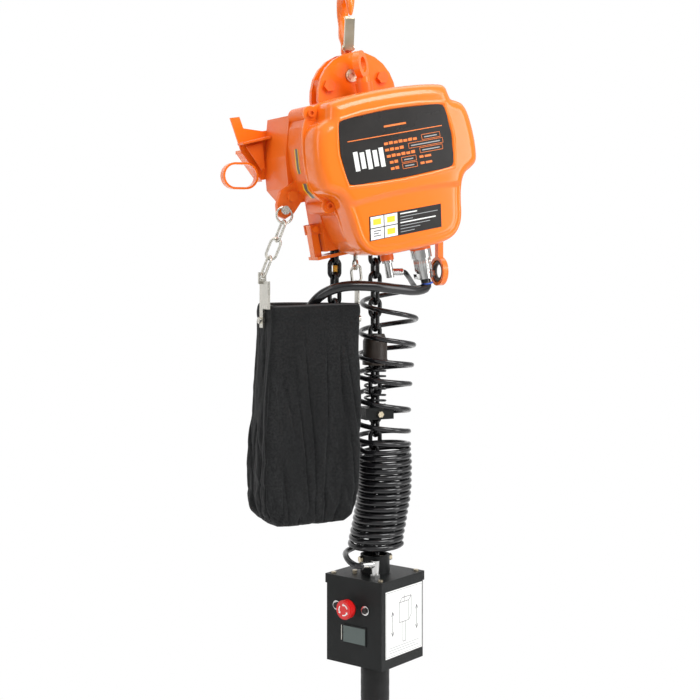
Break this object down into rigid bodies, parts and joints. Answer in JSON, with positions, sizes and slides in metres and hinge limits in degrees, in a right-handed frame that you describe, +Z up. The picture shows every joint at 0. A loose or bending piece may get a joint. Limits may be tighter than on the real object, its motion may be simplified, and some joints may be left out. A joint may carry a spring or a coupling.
{
  "type": "electric chain hoist",
  "caption": "Balancing electric chain hoist with top hook, chain bag, coiled control cable, pendant control box with grip handle and a swivelling load hook.",
  "frame": {"origin": "seat of the top hook bowl, where the hoist hangs from its support", "axes": "+Z up along the suspension line, -Y out of the front cover, +X to the right seen from the front"},
  "size_m": [0.3155, 0.276, 1.2428],
  "materials": {
    "orange_paint": "gloss",
    "orange_cast": "satin",
    "zinc": "satin",
    "yellow_zinc": "satin",
    "black_steel": "satin",
    "black_gloss": "gloss",
    "bright_steel": "polished",
    "rubber": "matte",
    "cable_jacket": "gloss",
    "plate_black": "satin",
    "film": "satin",
    "circuit": "satin",
    "gear_steel": "satin",
    "copper": "satin",
    "cast_alu": "satin",
    "lcd": "gloss",
    "red_plastic": "gloss",
    "green_plastic": "gloss",
    "bag_fabric": "matte",
    "grip_rubber": "matte"
  },
  "bodies": {
    "hook_frame": {"top_hook": "orange_paint", "top_latch_spring": "bright_steel"},
    "top_latch_body": {"top_latch": "yellow_zinc"},
    "yoke": {"hook_yoke": "orange_paint", "suspension_pin": "yellow_zinc"},
    "hoist": {"suspension_plates": "orange_paint", "suspension_bolts": "orange_paint", "main_casing": "orange_cast", "front_cover": "orange_paint", "nameplate": "plate_black", "cover_screws": "orange_paint", "film_labels": "film", "control_board": "circuit", "lifting_eye": "orange_paint", "gear_casing": "orange_cast", "shaft_bearings": "bright_steel", "motor_housing": "cast_alu", "motor_end_cap": "plate_black", "motor_stator": "copper", "chain_guide": "orange_paint", "casing_bolts": "orange_paint", "cable_bracket": "orange_paint", "cable_ring_right": "orange_paint", "power_connector": "bright_steel", "power_cable": "cable_jacket", "elbow_connector_top": "bright_steel", "coil_cable": "cable_jacket", "bag_lugs": "zinc"},
    "motor_rotor_body": {"motor_rotor": "gear_steel", "brake_disc": "gear_steel"},
    "layshaft_body": {"layshaft_gears": "gear_steel"},
    "wheel_body": {"lift_wheel": "gear_steel", "output_gear_shaft": "gear_steel"},
    "lever_body": {"limit_lever": "orange_paint"},
    "load_strand": {"load_chain": "black_gloss", "rubber_bumper": "rubber", "bumper_spring": "black_steel", "stop_block": "black_steel", "collar": "black_steel", "chain_bolts": "zinc", "control_box": "black_steel", "box_lid": "black_steel", "lid_screws": "zinc", "display": "lcd", "instruction_plate": "film", "panel_rings": "bright_steel", "elbow_connector_box": "bright_steel", "load_sensor": "gear_steel", "load_tube": "bright_steel"},
    "estop_body": {"estop_button": "red_plastic"},
    "button_up_body": {"button_up": "green_plastic"},
    "button_down_body": {"button_down": "green_plastic"},
    "grip_body": {"handle_grip": "grip_rubber"},
    "load_hook_body": {"load_hook": "orange_paint"},
    "load_latch_body": {"load_hook_latch": "yellow_zinc"},
    "slack_strand": {"slack_chain": "black_gloss"},
    "bag_body": {"chain_bag": "bag_fabric", "bag_rim": "bright_steel", "bag_clips": "zinc", "bag_chains": "zinc"}
  },
  "joints": [
    {"name": "hook_swivel", "type": "hinge", "parent": "hook_frame", "child": "yoke", "pos_m": [0, 0, -0.095], "axis": [0, 0, 1], "continuous": true},
    {"name": "top_latch_hinge", "type": "hinge", "parent": "hook_frame", "child": "top_latch_body", "pos_m": [-0.0027, -0.01169, -0.07], "axis": [-0.9744, 0.225, 0], "range_deg": [0, 26]},
    {"name": "hoist_swing", "type": "hinge", "parent": "yoke", "child": "hoist", "pos_m": [0, 0, -0.11], "axis": [0, 1, 0], "range_deg": [-3.5, 8]},
    {"name": "wheel_spin", "type": "hinge", "parent": "hoist", "child": "wheel_body", "pos_m": [0.0132, 0, -0.2195], "axis": [0, 1, 0], "range_deg": [-68.5, 68.5]},
    {"name": "layshaft_spin", "type": "hinge", "parent": "hoist", "child": "layshaft_body", "pos_m": [0.05994, 0.03, -0.20175], "axis": [0, 1, 0], "range_deg": [-275, 275]},
    {"name": "motor_spin", "type": "hinge", "parent": "hoist", "child": "motor_rotor_body", "pos_m": [0.01744, 0.09, -0.19138], "axis": [0, 1, 0], "range_deg": [-1095, 1095]},
    {"name": "load_lift", "type": "slide", "parent": "hoist", "child": "load_strand", "axis": [0, 0, 1], "range_m": [-0.038, 0.038], "deforming": ["coil_cable"]},
    {"name": "slack_run", "type": "slide", "parent": "hoist", "child": "slack_strand", "axis": [0, 0, 1], "range_m": [-0.038, 0.038]},
    {"name": "limit_lever_hinge", "type": "hinge", "parent": "hoist", "child": "lever_body", "pos_m": [-0.0538, 0, -0.32692], "axis": [0, 1, 0], "range_deg": [-2.5, 2.5]},
    {"name": "estop_push", "type": "slide", "parent": "load_strand", "child": "estop_body", "axis": [0.8949, 0.4462, 0], "range_m": [0, 0.004], "stiffness_N_per_m": 300},
    {"name": "button_up_push", "type": "slide", "parent": "load_strand", "child": "button_up_body", "axis": [0.8949, 0.4462, 0], "range_m": [0, 0.002], "stiffness_N_per_m": 200},
    {"name": "button_down_push", "type": "slide", "parent": "load_strand", "child": "button_down_body", "axis": [0.8949, 0.4462, 0], "range_m": [0, 0.002], "stiffness_N_per_m": 200},
    {"name": "grip_slide", "type": "slide", "parent": "load_strand", "child": "grip_body", "axis": [0, 0, 1], "range_m": [-0.008, 0.008], "stiffness_N_per_m": 2000},
    {"name": "load_hook_swivel", "type": "hinge", "parent": "load_strand", "child": "load_hook_body", "pos_m": [0.0451, 0, -1.11], "axis": [0, 0, 1], "continuous": true},
    {"name": "load_latch_hinge", "type": "hinge", "parent": "load_hook_body", "child": "load_latch_body", "pos_m": [0.04718, -0.01182, -1.135], "axis": [0.9848, 0.1736, 0], "range_deg": [0, 26]},
    {"name": "bag_swing", "type": "hinge", "parent": "hoist", "child": "bag_body", "pos_m": [-0.10912, -0.034, -0.30113], "axis": [0.8177, -0.0154, -0.5754], "range_deg": [-1.2, 3]}
  ],
  "couplings": [
    {"joint": "wheel_spin", "follows": "load_lift", "rad_per_m": -31.348},
    {"joint": "slack_run", "follows": "load_lift", "ratio": -1},
    {"joint": "layshaft_spin", "follows": "load_lift", "rad_per_m": 125.39},
    {"joint": "motor_spin", "follows": "load_lift", "rad_per_m": -501.57}
  ]
}
